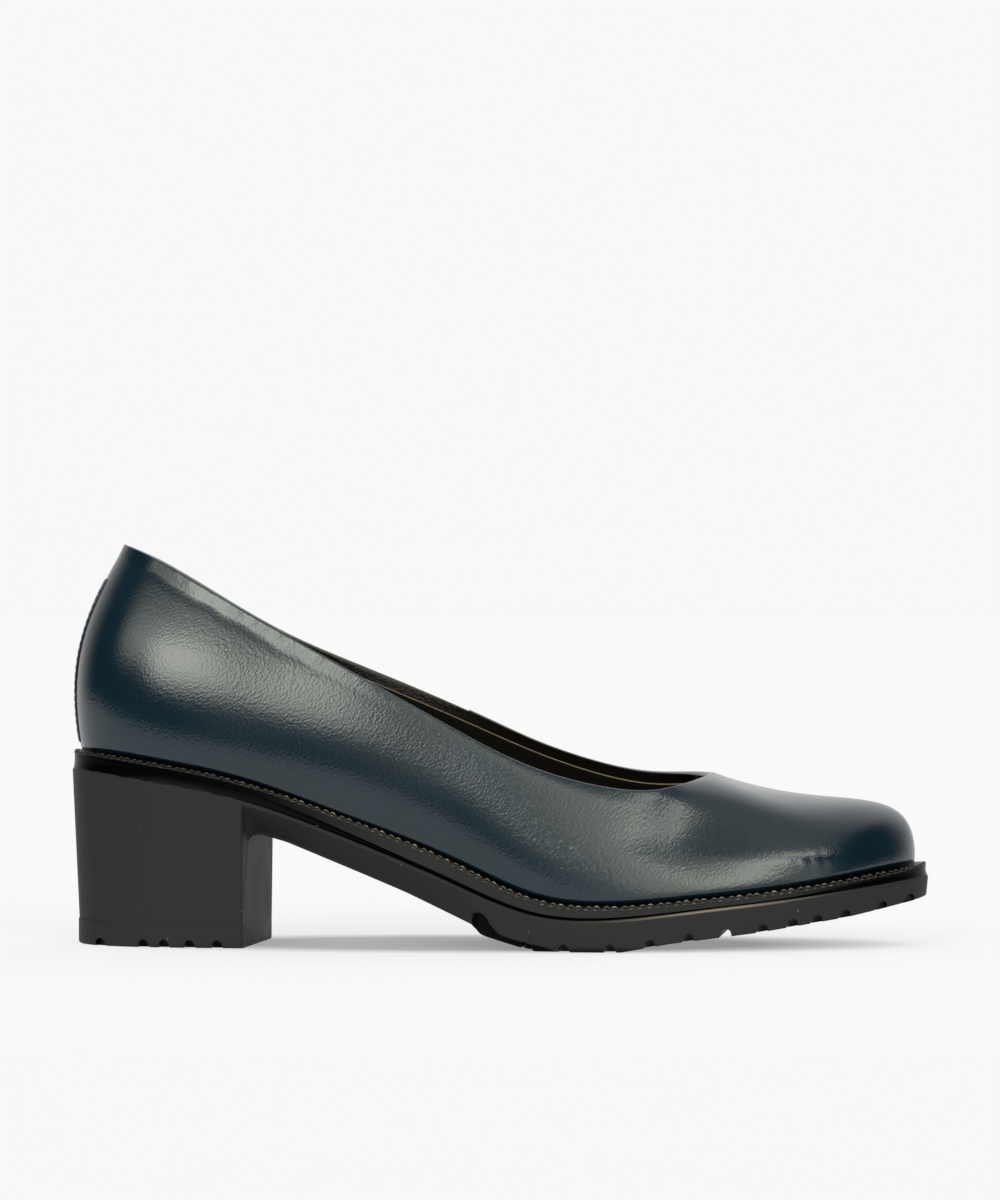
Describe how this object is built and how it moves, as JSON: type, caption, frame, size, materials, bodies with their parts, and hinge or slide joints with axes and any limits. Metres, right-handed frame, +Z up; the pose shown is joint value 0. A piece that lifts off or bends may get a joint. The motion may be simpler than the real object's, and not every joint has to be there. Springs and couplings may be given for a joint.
{
  "type": "mid heel pump",
  "caption": "Women's slip-on court shoe for the right foot: hollow navy leather upper on a black moulded rubber sole with a block heel, stitched welt and slotted tread.",
  "frame": {"origin": "on the floor, under the middle of the shoe's box", "axes": "+X towards the toe, +Y towards the inner side of the foot, +Z up"},
  "size_m": [0.2478, 0.0846, 0.1156],
  "materials": {
    "upper_leather": "navy smooth-grain leather with a soft shine",
    "welt_rubber": "black, half-gloss, with a rope stitch",
    "sole_rubber": "matt black moulded rubber",
    "sock_leather": "dark brown matt lining leather"
  },
  "bodies": {
    "root": {"upper": "upper_leather", "back_strip": "upper_leather", "welt": "welt_rubber", "sole_unit": "sole_rubber", "heel_top_piece": "sole_rubber", "insole": "sock_leather"}
  },
  "joints": []
}
